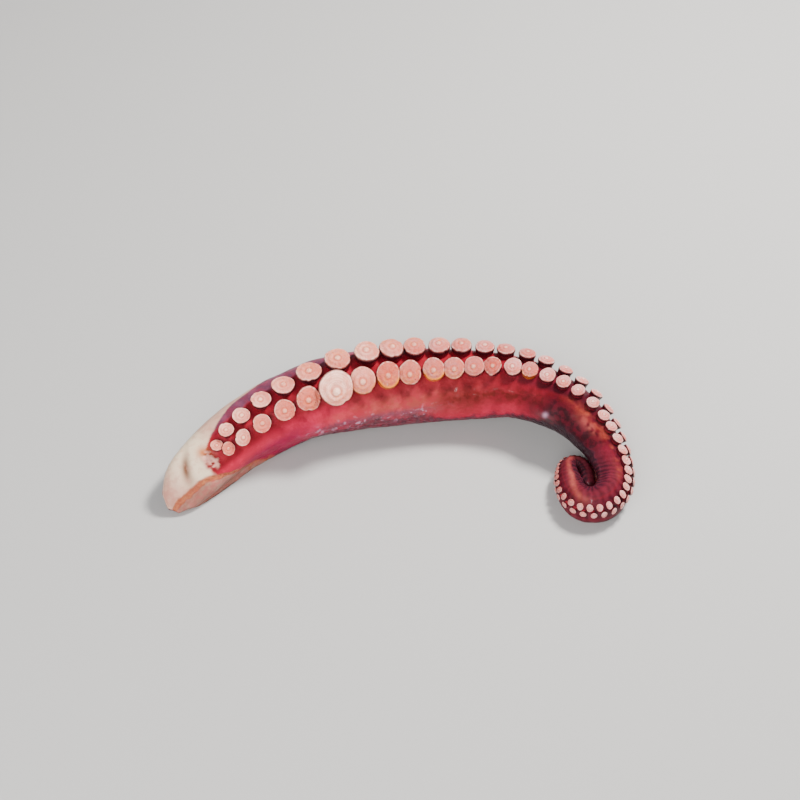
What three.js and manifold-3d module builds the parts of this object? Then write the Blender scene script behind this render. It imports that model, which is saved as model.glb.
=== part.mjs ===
// A cooked octopus arm as it lies on a table: one solid, cut off at its thick root, with two
// rows of suckers along its upper side, a long arch in the middle and a thin end rolled into a
// curl. The origin is under the middle of the arm's box, on the table. Millimetres, +Z up.
import * as THREE from 'three';
import { mergeVertices } from 'three/addons/utils/BufferGeometryUtils.js';
import Module from 'manifold-3d';

// ---------------------------------------------------------------------------------------
// Driving dimensions. Each table gives a value at a few distances along the arm from its root.
// ---------------------------------------------------------------------------------------
const ARM_LENGTH = 313;
const ROOT = new THREE.Vector2(-97.82, -35.31);

// Direction in which the arm runs, in degrees from +X. It turns right all the way.
const HEADING = [
  [0, 65], [12, 59], [25, 49], [40, 44], [70, 27], [100, 13], [130, 6], [160, -4], [185, -25],
  [205, -46], [225, -66], [241, -82], [253, -121], [262, -181], [271, -240], [280, -265],
  [287, -273], [294, -354], [301, -434], [313, -460],
];

// Lean of the sucker side away from straight up, in degrees. Positive leans it to the right.
const LEAN = [
  [0, 25], [20, 32], [40, 31], [70, 25], [100, 18], [130, 12], [160, 3], [185, -8], [205, -24],
  [225, -44], [241, -58], [265, -68], [313, -80],
];

// Cross-section: half its width, its depth up to the sucker side, its depth down to the back.
const HALF_WIDTH = [
  [0, 2.6], [6, 8], [20, 12], [40, 13.2], [70, 15.2], [100, 16.8], [130, 16], [160, 14.5],
  [205, 12.3], [241, 9.2], [263, 7.8], [282, 6.2], [292, 5], [301, 4.2], [308, 3.4],
  [313, 1],
];
const SUCKER_SIDE_DEPTH = [
  [0, 2], [6, 4.5], [20, 8], [40, 11.5], [70, 13.5], [100, 14.5], [130, 13.5], [160, 12],
  [205, 10.5], [241, 7.6], [263, 5.6], [282, 4.2], [292, 2.8], [301, 3], [308, 3],
  [313, 1.2],
];
const BACK_DEPTH = [
  [0, 3], [6, 5], [20, 9.5], [40, 14], [70, 17], [100, 18.5], [130, 18], [160, 15.5],
  [185, 11.6], [205, 9.4], [225, 6.4], [241, 4.6], [255, 6], [268, 7.2], [280, 6.4], [288, 4.2],
  [294, 4], [301, 3.8], [308, 3.4], [313, 1.4],
];
const SQUARENESS = 2.4;

// The arm's own weight flattens it where it touches the table. A stretch before the curl and the
// very tip stand clear of the table.
const FLATTENED_BY = 1.4;
const CLEAR_OF_TABLE = [
  [0, 0], [120, 0], [140, 0.6], [160, 2.8], [175, 5.4], [190, 6.6], [205, 6.2], [225, 2.8],
  [250, 0], [272, 0], [290, 2], [301, 2.6], [313, 3],
];

// The skin of the web between two arms, cut off close to this one, stands out as a thin edge
// along the front of the root.
const WEB_EDGE_OUT = [[2, 0], [12, 3.2], [30, 4.6], [45, 3.4], [78, 0]];
const WEB_EDGE_AT = 112;
const WEB_EDGE_SPREAD = 11;

// Suckers: width of the disc and distance to the next sucker of the row.
const SUCKER_WIDTH = [
  [18, 4], [26, 4.6], [35, 6.6], [46, 8.1], [60, 9.3], [80, 11.3], [100, 12.9], [115, 12.2],
  [135, 11], [155, 9.8], [190, 7.8], [225, 5.9], [241, 5], [252, 4], [262, 3.3], [275, 2.9],
  [288, 2.2], [300, 1.4], [313, 0.8],
];
const SUCKER_PITCH = [
  [18, 6], [27, 7], [35, 9], [44, 11.3], [55, 12.9], [80, 13.4], [105, 12.1], [130, 10.7],
  [150, 10.2], [171, 8.8], [185, 7.8], [210, 6.2], [230, 5.3], [241, 4.3], [250, 3],
  [258, 2.4], [266, 2.6], [272, 3.6], [278, 3.4], [285, 2.4], [291, 1.5], [301, 1.1], [313, 0.9],
];
const LAST_SUCKER = 290;
const STAND_HEIGHT = 0.5;
const LONGEST_SHARE_OF_PITCH = [
  [28, 0.96], [228, 0.96], [246, 1.2], [266, 1.2], [290, 1], [313, 1],
];
const GIANT_SUCKER = 5;
const GIANT_SCALE = 1.27;

// The two rows. The side is +1 towards the front flank. Splay tilts the suckers away from the
// middle, in degrees. Offset is their distance from the middle, in disc widths. Shift moves them
// along the arm from their even places.
const NEAR_ROW = {
  side: 1,
  first: 31.5,
  splay: [[28, 22], [313, 22]],
  offset: [[28, 0.5], [100, 0.5], [130, 0.44], [190, 0.44], [220, 0.5], [313, 0.5]],
  shift: [
    [28, 3], [36, 1.2], [45, 0.5], [62, 0.3], [80, 0], [130, 0], [160, -1.2], [185, -2.4],
    [205, -1.6], [235, -0.4], [313, 0],
  ],
};
const FAR_ROW = {
  side: -1,
  first: 28,
  splay: [[28, 22], [90, 20], [120, 12], [210, 10], [240, 22], [313, 22]],
  offset: [
    [28, 0.15], [38, 0.5], [80, 0.52], [110, 0.68], [140, 0.84], [165, 1], [190, 1], [210, 0.9],
    [240, 0.72], [262, 0.55], [313, 0.5],
  ],
  shift: [
    [28, 3], [36, 2], [45, 0.6], [55, -0.5], [72, -2.4], [90, -3], [105, -2.2], [145, -2.4],
    [165, -2], [185, -3.2], [205, -2], [240, 0], [313, 0],
  ],
};

// Outline of a sucker from its buried foot to the top of its disc: radius in disc widths and
// height in stand heights.
const SUCKER_OUTLINE = [[0.3, -0.7], [0.31, 0.15], [0.47, 0.62], [0.5, 0.84], [0.42, 1]];
const SUCKER_CROWN = 1.07;

// ---------------------------------------------------------------------------------------
// Fineness of the mesh
// ---------------------------------------------------------------------------------------
const ROUTE_STEP = 0.25;
const SECTION_SIDES = 18;
const RING_STEP_THICK = 5.4;
const RING_STEP_THIN = 2.2;
const THIN_FROM = 240;
const LARGE_SUCKER = 7;
const SMALL_SUCKER = 4;

const radians = THREE.MathUtils.degToRad;

// Smooth curve through the points of a table, with no overshoot between them.
function read(table, s) {
  const last = table.length - 1;
  if (s <= table[0][0]) return table[0][1];
  if (s >= table[last][0]) return table[last][1];
  let i = 0;
  while (table[i + 1][0] < s) i += 1;
  const run = table[i + 1][0] - table[i][0];
  const t = (s - table[i][0]) / run;
  const startSlope = slopeAt(table, i);
  const endSlope = slopeAt(table, i + 1);
  const startValue = table[i][1] * (1 + 2 * t) * (1 - t) ** 2;
  const endValue = table[i + 1][1] * (3 - 2 * t) * t ** 2;
  return startValue + endValue + run * (startSlope * t * (1 - t) ** 2 - endSlope * t ** 2 * (1 - t));
}

function slopeAt(table, i) {
  const rise = (j) => (table[j + 1][1] - table[j][1]) / (table[j + 1][0] - table[j][0]);
  if (i === 0) return rise(0);
  if (i === table.length - 1) return rise(i - 1);
  const before = rise(i - 1);
  const after = rise(i);
  if (before * after <= 0) return 0;
  const runBefore = table[i][0] - table[i - 1][0];
  const runAfter = table[i + 1][0] - table[i][0];
  const weightBefore = 2 * runAfter + runBefore;
  const weightAfter = runAfter + 2 * runBefore;
  return (weightBefore + weightAfter) / (weightBefore / before + weightAfter / after);
}

// ---------------------------------------------------------------------------------------
// Route of the arm's middle
// ---------------------------------------------------------------------------------------

// Height of the middle above the table: what the leaning section reaches below it.
function centreHeight(s) {
  const lean = radians(read(LEAN, s));
  const power = SQUARENESS / (SQUARENESS - 1);
  const fromWidth = Math.abs(read(HALF_WIDTH, s) * Math.sin(lean)) ** power;
  const fromDepth = Math.abs(read(BACK_DEPTH, s) * Math.cos(lean)) ** power;
  return (fromWidth + fromDepth) ** (1 / power) - FLATTENED_BY + read(CLEAR_OF_TABLE, s);
}

function walkRoute() {
  const points = [];
  let x = ROOT.x;
  let y = ROOT.y;
  for (let s = 0; s <= ARM_LENGTH; s += ROUTE_STEP) {
    points.push(new THREE.Vector3(x, y, centreHeight(s)));
    const middle = s + ROUTE_STEP / 2;
    const climb = (centreHeight(s + ROUTE_STEP) - centreHeight(s)) / ROUTE_STEP;
    const along = ROUTE_STEP * Math.sqrt(Math.max(0.3, 1 - climb ** 2));
    x += along * Math.cos(radians(read(HEADING, middle)));
    y += along * Math.sin(radians(read(HEADING, middle)));
  }
  return points;
}

const route = walkRoute();

function pointOnRoute(s) {
  const place = THREE.MathUtils.clamp(s / ROUTE_STEP, 0, route.length - 1.001);
  const i = Math.floor(place);
  return route[i].clone().lerp(route[i + 1], place - i);
}

// Axes of the arm at one place: forwards, towards the suckers, and across to the front flank.
function axesAt(s) {
  const forwards = pointOnRoute(s + 0.5).sub(pointOnRoute(s - 0.5)).normalize();
  const side = forwards.clone().cross(new THREE.Vector3(0, 0, 1)).normalize();
  const lift = side.clone().cross(forwards);
  const lean = radians(read(LEAN, s));
  const suckerwards = lift.clone().multiplyScalar(Math.cos(lean)).addScaledVector(side, Math.sin(lean));
  const across = forwards.clone().cross(suckerwards);
  return { middle: pointOnRoute(s), forwards, suckerwards, across };
}

// ---------------------------------------------------------------------------------------
// Body
// ---------------------------------------------------------------------------------------
const rounded = (value) => Math.sign(value) * Math.abs(value) ** (2 / SQUARENESS);

// A point of the skin. The angle is 0 in the middle of the sucker side, 90 on the front flank.
function skinPoint(s, degrees) {
  const { middle, suckerwards, across } = axesAt(s);
  const cosine = Math.cos(radians(degrees));
  const depth = cosine > 0 ? read(SUCKER_SIDE_DEPTH, s) : read(BACK_DEPTH, s);
  const out = across.multiplyScalar(read(HALF_WIDTH, s) * rounded(Math.sin(radians(degrees))));
  out.addScaledVector(suckerwards, depth * rounded(cosine));
  const away = (degrees - WEB_EDGE_AT) / WEB_EDGE_SPREAD;
  const edge = s < WEB_EDGE_OUT.at(-1)[0] ? read(WEB_EDGE_OUT, s) * Math.exp(-(away ** 2)) : 0;
  out.setLength(out.length() + edge);
  const point = middle.add(out);
  point.z = Math.max(0, point.z);
  return point;
}

function ringPlaces() {
  const places = [0, 2, 5];
  while (places.at(-1) < ARM_LENGTH - RING_STEP_THIN) {
    const here = places.at(-1);
    const step = here < THIN_FROM ? RING_STEP_THICK : RING_STEP_THIN;
    places.push(here + step);
  }
  places.push(ARM_LENGTH);
  return places;
}

// Closed mesh from rings of points, all with the same number, and a point at either end.
function closeRings(rings, startPoint, endPoint) {
  const sides = rings[0].length;
  const corners = [startPoint, ...rings.flat(), endPoint];
  const faces = [];
  const corner = (ring, side) => 1 + ring * sides + (side % sides);
  for (let side = 0; side < sides; side += 1) {
    faces.push(0, corner(0, side + 1), corner(0, side));
    faces.push(corners.length - 1, corner(rings.length - 1, side), corner(rings.length - 1, side + 1));
  }
  for (let ring = 0; ring < rings.length - 1; ring += 1) {
    for (let side = 0; side < sides; side += 1) {
      const [a, b] = [corner(ring, side), corner(ring, side + 1)];
      const [c, d] = [corner(ring + 1, side), corner(ring + 1, side + 1)];
      faces.push(a, b, d, a, d, c);
    }
  }
  const geometry = new THREE.BufferGeometry();
  geometry.setAttribute('position', new THREE.Float32BufferAttribute(corners.flatMap((p) => p.toArray()), 3));
  geometry.setIndex(faces);
  return geometry;
}

function bodyGeometry() {
  const rings = ringPlaces().map((s) => {
    const ring = [];
    for (let side = 0; side < SECTION_SIDES; side += 1) {
      ring.push(skinPoint(s, (360 * side) / SECTION_SIDES));
    }
    return ring;
  });
  return closeRings(rings, pointOnRoute(0), pointOnRoute(ARM_LENGTH));
}

// ---------------------------------------------------------------------------------------
// Suckers
// ---------------------------------------------------------------------------------------
function suckerPlaces(row) {
  const places = [];
  let s = row.first;
  while (s < LAST_SUCKER) {
    places.push(s + read(row.shift, s));
    const halfWay = s + 0.5 * read(SUCKER_PITCH, s);
    s += read(SUCKER_PITCH, halfWay);
  }
  return places;
}

// One sucker of a row: its foot, its stalk and its disc.
function suckerGeometry(s, row, scale) {
  const { middle, forwards, suckerwards, across } = axesAt(s);
  const width = read(SUCKER_WIDTH, s);
  const height = STAND_HEIGHT * width * scale;
  const splay = radians(read(row.splay, s));
  const outwards = across.multiplyScalar(row.side);
  const up = suckerwards.clone().multiplyScalar(Math.cos(splay)).addScaledVector(outwards, Math.sin(splay));
  const over = up.clone().cross(forwards);
  const sideways = (read(row.offset, s) - STAND_HEIGHT * Math.sin(splay)) * width;
  const level = (1 - (sideways / read(HALF_WIDTH, s)) ** SQUARENESS) ** (1 / SQUARENESS);
  const foot = middle.addScaledVector(outwards, sideways);
  foot.addScaledVector(suckerwards, read(SUCKER_SIDE_DEPTH, s) * level);
  const halfAcross = scale * width;
  const longestShare = read(LONGEST_SHARE_OF_PITCH, s);
  const halfAlong = scale * Math.min(width, longestShare * read(SUCKER_PITCH, s));
  const sides = width > LARGE_SUCKER ? 10 : width > SMALL_SUCKER ? 8 : 6;
  const outline = width > LARGE_SUCKER ? SUCKER_OUTLINE : SUCKER_OUTLINE.filter((point, i) => i !== 3);
  const rings = outline.map(([radius, rise]) => {
    const ring = [];
    for (let side = 0; side < sides; side += 1) {
      const turn = (2 * Math.PI * side) / sides;
      const point = foot.clone().addScaledVector(up, rise * height);
      point.addScaledVector(forwards, radius * halfAlong * Math.cos(turn));
      point.addScaledVector(over, radius * halfAcross * Math.sin(turn));
      ring.push(point);
    }
    return ring;
  });
  const bottom = foot.clone().addScaledVector(up, outline[0][1] * height);
  return closeRings(rings, bottom, foot.clone().addScaledVector(up, SUCKER_CROWN * height));
}

function allSuckers() {
  const near = suckerPlaces(NEAR_ROW).map((s, i) => {
    return suckerGeometry(s, NEAR_ROW, i === GIANT_SUCKER ? GIANT_SCALE : 1);
  });
  const far = suckerPlaces(FAR_ROW).map((s) => suckerGeometry(s, FAR_ROW, 1));
  return [...near, ...far];
}

// ---------------------------------------------------------------------------------------
// Joining
// ---------------------------------------------------------------------------------------
const wasm = await Module();
wasm.setup();

function toSolid(geometry) {
  const merged = mergeVertices(geometry, 1e-4);
  const vertProperties = new Float32Array(merged.attributes.position.array);
  const triVerts = new Uint32Array(merged.index.array);
  return new wasm.Manifold(new wasm.Mesh({ numProp: 3, vertProperties, triVerts }));
}

function toGeometry(solid) {
  const mesh = solid.getMesh();
  const geometry = new THREE.BufferGeometry();
  geometry.setAttribute('position', new THREE.BufferAttribute(mesh.vertProperties, 3));
  geometry.setIndex(new THREE.BufferAttribute(mesh.triVerts, 1));
  geometry.computeVertexNormals();
  return geometry;
}

let arm = toSolid(bodyGeometry());
for (const sucker of allSuckers()) {
  arm = arm.add(toSolid(sucker));
}

const skin = new THREE.MeshStandardMaterial({ color: 0x9c3a3c, roughness: 0.3, metalness: 0 });
const armMesh = new THREE.Mesh(toGeometry(arm), skin);
armMesh.name = 'octopus_arm';

const octopus = new THREE.Group();
octopus.add(armMesh);

export default octopus;
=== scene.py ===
import math
import random
from collections import defaultdict

import bpy
import numpy as np
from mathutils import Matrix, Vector, noise


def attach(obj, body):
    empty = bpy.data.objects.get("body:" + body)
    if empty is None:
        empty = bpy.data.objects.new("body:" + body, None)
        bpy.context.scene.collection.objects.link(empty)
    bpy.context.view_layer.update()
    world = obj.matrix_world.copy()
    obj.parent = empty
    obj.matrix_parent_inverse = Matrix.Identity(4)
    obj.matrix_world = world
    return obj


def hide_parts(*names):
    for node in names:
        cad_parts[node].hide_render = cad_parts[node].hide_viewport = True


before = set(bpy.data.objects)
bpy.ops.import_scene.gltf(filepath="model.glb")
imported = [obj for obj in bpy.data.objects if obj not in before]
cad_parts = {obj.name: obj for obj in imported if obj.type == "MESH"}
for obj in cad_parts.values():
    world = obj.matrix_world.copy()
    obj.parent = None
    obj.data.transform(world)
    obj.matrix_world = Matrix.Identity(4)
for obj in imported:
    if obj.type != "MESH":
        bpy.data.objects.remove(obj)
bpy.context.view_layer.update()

# The arm of a cooked octopus: a smooth body and its two rows of suckers. Lengths below are in
# millimetres and angles in degrees, as the solid's own are; METRES turns them into the scene's.
METRES = 0.001

# ---- The arm's driving dimensions ----
# Each table gives a value at a few distances from the root.
ARM_LENGTH = 313
# Middle of the cut root on the table.
ROOT = (-97.82, -35.31)
# Which way the arm runs, seen from above.
HEADING = [
    (0, 65), (12, 59), (25, 49), (40, 44), (70, 27), (100, 13), (130, 6), (160, -4), (185, -25),
    (205, -46), (225, -66), (241, -82), (253, -121), (262, -181), (271, -240), (280, -265),
    (287, -273), (294, -354), (301, -434), (313, -460),
]
# How far the sucker side leans over to the front.
LEAN = [
    (0, 25), (20, 32), (40, 31), (70, 25), (100, 18), (130, 12), (160, 3), (185, -8), (205, -24),
    (225, -44), (241, -58), (265, -68), (313, -80),
]
# Half the width of the arm, and how far its skin is from the middle on the sucker side and on
# the back.
HALF_WIDTH = [
    (0, 2.6), (6, 8), (20, 12), (40, 13.2), (70, 15.2), (100, 16.8), (130, 16), (160, 14.5),
    (205, 12.3), (241, 9.2), (263, 7.8), (282, 6.2), (292, 5), (301, 4.2), (308, 3.4),
    (313, 1),
]
SUCKER_SIDE_DEPTH = [
    (0, 2), (6, 4.5), (20, 8), (40, 11.5), (70, 13.5), (100, 14.5), (130, 13.5), (160, 12),
    (205, 10.5), (241, 7.6), (263, 5.6), (282, 4.2), (292, 2.8), (301, 3), (308, 3),
    (313, 1.2),
]
BACK_DEPTH = [
    (0, 3), (6, 5), (20, 9.5), (40, 14), (70, 17), (100, 18.5), (130, 18), (160, 15.5),
    (185, 11.6), (205, 9.4), (225, 6.4), (241, 4.6), (255, 6), (268, 7.2), (280, 6.4),
    (288, 4.2), (294, 4), (301, 3.8), (308, 3.4), (313, 1.4),
]
# Fullness of the cross-section: 2 would be an ellipse, and more is fuller.
SQUARENESS = 2.4
# How far the table presses the soft back flat, and how far the arm stands clear of the table.
FLATTENED_BY = 1.4
CLEAR_OF_TABLE = [
    (0, 0), (120, 0), (140, 0.6), (160, 2.8), (175, 5.4), (190, 6.6), (205, 6.2), (225, 2.8),
    (250, 0), (272, 0), (290, 2), (301, 2.6), (313, 3),
]

# Thin edge of the cut web along the front of the root: how far it stands out, its turn round the
# arm, and how wide it spreads there.
WEB_EDGE_OUT = [(2, 0), (12, 3.2), (30, 4.6), (45, 3.4), (78, 0)]
WEB_EDGE_AT = 112
WEB_EDGE_SPREAD = 8

# Suckers: the width of the disc, and the distance to the next sucker of the row.
SUCKER_WIDTH = [
    (18, 4), (26, 4.6), (35, 6.6), (46, 8.1), (60, 9.3), (80, 11.3), (100, 12.9), (115, 12.2),
    (135, 11), (155, 9.8), (190, 7.8), (225, 5.9), (241, 5), (252, 4), (262, 3.3), (275, 2.9),
    (288, 2.2), (300, 1.4), (313, 0.8),
]
SUCKER_PITCH = [
    (18, 6), (27, 7), (35, 9), (44, 11.3), (55, 12.9), (80, 13.4), (105, 12.1), (130, 10.7),
    (150, 10.2), (171, 8.8), (185, 7.8), (210, 6.2), (230, 5.3), (241, 4.3), (250, 3),
    (258, 2.4), (266, 2.6), (272, 3.6), (278, 3.4), (285, 2.4), (291, 1.5), (301, 1.1),
    (313, 0.9),
]
# Where each row starts, and where both end.
FIRST_NEAR_SUCKER = 31.5
FIRST_FAR_SUCKER = 28
LAST_SUCKER = 309
# Each row: how far its suckers tilt away from the middle in degrees, how far they stand from it
# in disc widths, and how far each is shifted along the arm from its even place.
NEAR_ROW = {
    "side": 1,
    "splay": [(28, 22), (313, 22)],
    "offset": [(28, 0.5), (100, 0.5), (130, 0.44), (190, 0.44), (220, 0.5), (313, 0.5)],
    "shift": [
        (28, 3), (36, 1.2), (45, 0.5), (62, 0.3), (80, 0), (130, 0), (160, -1.2), (185, -2.4),
        (205, -1.6), (235, -0.4), (313, 0),
    ],
}
FAR_ROW = {
    "side": -1,
    "splay": [(28, 22), (90, 20), (120, 12), (210, 10), (240, 22), (313, 22)],
    "offset": [
        (28, 0.15), (38, 0.5), (80, 0.52), (110, 0.68), (140, 0.84), (165, 1), (190, 1), (210, 0.9),
        (240, 0.72), (262, 0.55), (313, 0.5),
    ],
    "shift": [
        (28, 3), (36, 2), (45, 0.6), (55, -0.5), (72, -2.4), (90, -3), (105, -2.2), (145, -2.4),
        (165, -2), (185, -3.2), (205, -2), (240, 0), (313, 0),
    ],
}
# Height of a sucker, in disc widths.
STAND_HEIGHT = 0.5
# Most of the distance to the next sucker that a disc may take up. In the curl they crowd together.
LONGEST_SHARE_OF_PITCH = [(28, 0.96), (228, 0.96), (246, 1.2), (266, 1.2), (290, 1), (313, 1)]
# The one enlarged sucker: its place in the near row, and its scale.
GIANT_SUCKER = 5
GIANT_SCALE = 1.27

# ---- Fineness of the meshes ----
# Step along the route of the arm's middle.
ROUTE_STEP = 0.25
# Sides of the body, and the distance between its rings on the thick part and in the curl.
SKIN_SIDES = 160
RING_STEP_THICK = 0.66
RING_STEP_CURL = 0.33
CURL_FROM = 228
# Sides of a sucker, each with the disc width above which a sucker gets them.
SUCKER_SIDES = ((7, 64), (3.5, 40), (0, 24))

# ---- Where the skin changes ----
# Places are distances from the root, and turns are angles round the arm: 0 in the middle of the
# sucker side, 90 on the front flank, -90 on the far flank.

# White inner flesh, laid bare at the cut root: how far it reaches at each turn.
WHITE_FLESH_END = [
    (-120, 62), (-95, 72), (-67, 66), (-54, 49), (-35, 38), (-25, 33), (-8, 25), (8, 22), (40, 22),
]
WHITE_FLESH_FAR_EDGE = -98
# Cut edge of the web along the front: the turn of its upper edge at each place, and its width.
CUT_EDGE_TOP = [(0, -15), (8, 3), (18, 17), (26, 43), (35, 75), (49, 103), (78, 114)]
CUT_EDGE_WIDTH = [(0, 2.4), (10, 3.4), (30, 3), (48, 1.3), (62, 0)]
# Oblong dent in the white flesh. It runs round the arm at a slant.
DENT_PLACE = 16.3
DENT_LENGTH = 2.3
DENT_TURN = -20
DENT_TURN_SPREAD = 28
DENT_SLANT = 0.15
DENT_DEPTH = 1.5
# Dark skin of the back: the turn of its edge on the front flank, the steps that the edge takes
# along the arm (from, to, by how much), and the turn of its far edge.
BACK_EDGE = 88
BACK_EDGE_STEPS = ((88, 66, 22), (60, 30, 8), (125, 150, 20), (185, 225, -12))
FAR_BACK_EDGE = 92
# Skin that the stalks stand on: it fades out between these turns.
STALK_SIDE = (26, 46)
# Painted shade of the near suckers on the flank, each lying in a shallow fold: how far past the
# middle of a sucker each is, as a share of the way to the next one.
FOLD_PHASE = 0.22
# Crest inside the curl, painted paler where it faces the light: its turn at each place, and its
# spread.
LIT_CREST_TURN = [(261, 20), (266, 36), (271, 60), (280, 84), (290, 74), (300, 70)]
LIT_CREST_SPREAD = 17
# Smooth glossy lump on the lower flank where the arm bends down.
LUMP_PLACE = 199
LUMP_TURN = 88
LUMP_LENGTH = 5.5
LUMP_TURN_SPREAD = 19
LUMP_HEIGHT = 1.7
# Painted highlight: a small bright spot on top of the lump.
PAINTED_GLEAM_LENGTH = 1.5
PAINTED_GLEAM_TURN_SPREAD = 4.5
# Fine rays inside the curl: the distance from one to the next.
RAY_PITCH = 2.5
# Heights and depths of the relief.
SWAY_SHARE_OF_WIDTH = 0.035
LUMPINESS = 0.16
BACK_PIT_DEPTH = 0.45
RIM_PIT_DEPTH = 0.9
CUT_TEAR_DEPTH = 0.5
CUT_SUNK_BY = 0.35
FOLD_DEPTH = 0.3
RAY_HEIGHT = 0.07
CRUMB_HEIGHT = 0.9

# Kinds of skin in one patch with a soft edge.
SKIN_PATCHES = {
    "curds": {"place": 25.5, "length": 3, "turn": 6, "turn_spread": 18},
    "tan_rim": {"place": 25.6, "length": 2.6, "turn": -12, "turn_spread": 14},
    # A painted pool of light on the shaded flank at the bend.
    "lit_patch": {"place": 218, "length": 7, "turn": 50, "turn_spread": 15},
}
# Kinds of skin in a strip along the arm. Round the arm, a strip is either a soft band with a
# middle and a spread, or all the skin past an edge that fades in between two turns. Along the
# arm it begins and ends between two places. Noise makes the turns and the ends wander.
SKIN_STRIPS = {
    "purple_rim": {
        "middle": 82, "spread": 9, "turn_wander": 4, "begins": (70, 88), "ends": (126, 144),
    },
    "rough_rim": {"middle": 86, "spread": 12, "begins": (66, 84), "ends": (130, 150)},
    "glossy_rim": {"middle": 84, "spread": 12, "begins": (66, 84), "ends": (130, 150)},
    "far_strip": {"past": (-20, -32), "turn_wander": 4, "begins": (26, 36), "ends": (92, 128)},
    "magenta": {
        "past": (46, 74), "turn_wander": 8, "begins": (28, 44), "ends": (66, 94), "end_wander": 8,
    },
    "salmon": {
        "middle": 60, "spread": 32,
        "begins": (82, 112), "begin_wander": 12, "ends": (150, 178), "end_wander": 10,
    },
    "brown_red": {
        "middle": 62, "spread": 34,
        "begins": (128, 150), "begin_wander": 8, "ends": (186, 204), "end_wander": 8,
    },
    # Painted shade over the flank at the bend, in dark maroon.
    "shaded_bend": {
        "past": (6, 30), "turn_wander": 5,
        "begins": (178, 200), "begin_wander": 6, "ends": (228, 248),
    },
    # Painted amber glow of light through the flesh beside the suckers at the bend.
    "painted_glow": {"middle": 34, "spread": 13, "begins": (198, 214), "ends": (240, 252)},
    "sucker_shade": {
        "middle": 37, "spread": 14, "turn_wander": 7, "begins": (48, 66), "ends": (222, 238),
    },
}


# ---- Reading the tables ----
def slopes_of(places, values):
    """Slope of the curve at each point of a table, flat where the values turn back."""
    runs = np.diff(places)
    rises = np.diff(values) / runs
    slopes = np.zeros(len(places))
    slopes[0], slopes[-1] = rises[0], rises[-1]
    for i in range(1, len(places) - 1):
        before, after = rises[i - 1], rises[i]
        if before * after > 0:
            weight_before = 2 * runs[i] + runs[i - 1]
            weight_after = runs[i] + 2 * runs[i - 1]
            total = weight_before + weight_after
            slopes[i] = total / (weight_before / before + weight_after / after)
    return slopes


def read(table, s):
    """Smooth curve through the points of a table, with no overshoot between them."""
    places, values = np.array(table, float).T
    slopes = slopes_of(places, values)
    s = np.clip(s, places[0], places[-1])
    i = np.clip(np.searchsorted(places, s, side="right") - 1, 0, len(places) - 2)
    run = places[i + 1] - places[i]
    t = (s - places[i]) / run
    value = values[i] * (1 + 2 * t) * (1 - t) ** 2 + values[i + 1] * (3 - 2 * t) * t ** 2
    return value + run * (slopes[i] * t * (1 - t) ** 2 - slopes[i + 1] * t ** 2 * (1 - t))


def smooth(low, high, value):
    """0 below low, 1 above high, and an even rise between them."""
    t = np.clip((value - low) / (high - low), 0, 1)
    return t * t * (3 - 2 * t)


def hump(value, middle, spread):
    """1 in the middle, and an even fall to 0 on both sides of it."""
    return np.exp(-(((value - middle) / spread) ** 2))


def unit(vectors):
    return vectors / np.linalg.norm(vectors, axis=-1, keepdims=True)


def patch(kind, s, turn):
    """Share of a kind of skin that lies in one patch."""
    at = SKIN_PATCHES[kind]
    return hump(turn, at["turn"], at["turn_spread"]) * hump(s, at["place"], at["length"])


def strip(kind, s, turn, wander=0.0):
    """Share of a kind of skin that lies in a strip along the arm."""
    place = SKIN_STRIPS[kind]
    turn = turn + place.get("turn_wander", 0) * wander
    if "past" in place:
        round_arm = smooth(*place["past"], turn)
    else:
        round_arm = hump(turn, place["middle"], place["spread"])
    begins = smooth(*place["begins"], s + place.get("begin_wander", 0) * wander)
    ends = smooth(*reversed(place["ends"]), s + place.get("end_wander", 0) * wander)
    return round_arm * begins * ends


# ---- Route of the arm's middle ----
def centre_height(s):
    """Height of the arm's middle over the table when its flattened back rests there."""
    lean = np.radians(read(LEAN, s))
    power = SQUARENESS / (SQUARENESS - 1)
    from_width = np.abs(read(HALF_WIDTH, s) * np.sin(lean)) ** power
    from_depth = np.abs(read(BACK_DEPTH, s) * np.cos(lean)) ** power
    return (from_width + from_depth) ** (1 / power) - FLATTENED_BY + read(CLEAR_OF_TABLE, s)


# Least part of a step that may go forwards where the route climbs.
LEAST_FORWARDS = 0.3
# Half the length of route over which its direction is measured.
HALF_CHORD = 0.5


def walk_route():
    """Points of the arm's middle, one for each step along the route."""
    s = np.arange(0, ARM_LENGTH + ROUTE_STEP / 2, ROUTE_STEP)
    height = centre_height(s)
    climb = (centre_height(s + ROUTE_STEP) - height) / ROUTE_STEP
    along = ROUTE_STEP * np.sqrt(np.maximum(LEAST_FORWARDS, 1 - climb ** 2))
    heading = np.radians(read(HEADING, s + ROUTE_STEP / 2))
    x = ROOT[0] + np.concatenate([[0], np.cumsum(along * np.cos(heading))[:-1]])
    y = ROOT[1] + np.concatenate([[0], np.cumsum(along * np.sin(heading))[:-1]])
    return np.stack([x, y, height], axis=-1)


ROUTE = walk_route()


def point_on_route(s):
    place = np.clip(np.asarray(s, float) / ROUTE_STEP, 0, len(ROUTE) - 1.001)
    i = place.astype(int)
    part = (place - i)[..., None]
    return ROUTE[i] * (1 - part) + ROUTE[i + 1] * part


def axes_at(s):
    """Middle of the arm, and its axes: forwards, towards the suckers, across to the front."""
    s = np.asarray(s, float)
    forwards = unit(point_on_route(s + HALF_CHORD) - point_on_route(s - HALF_CHORD))
    side = unit(np.cross(forwards, [0, 0, 1]))
    lift = np.cross(side, forwards)
    lean = np.radians(read(LEAN, s))[..., None]
    suckerwards = lift * np.cos(lean) + side * np.sin(lean)
    return point_on_route(s), forwards, suckerwards, np.cross(forwards, suckerwards)


# ---- Where the suckers stand ----
def sucker_places(first, row):
    """Places of a row's suckers, from the root to the tip."""
    places = []
    s = first
    while s < LAST_SUCKER:
        places.append(s + float(read(row["shift"], s)))
        half_way = s + 0.5 * float(read(SUCKER_PITCH, s))
        s += float(read(SUCKER_PITCH, half_way))
    return places


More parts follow.
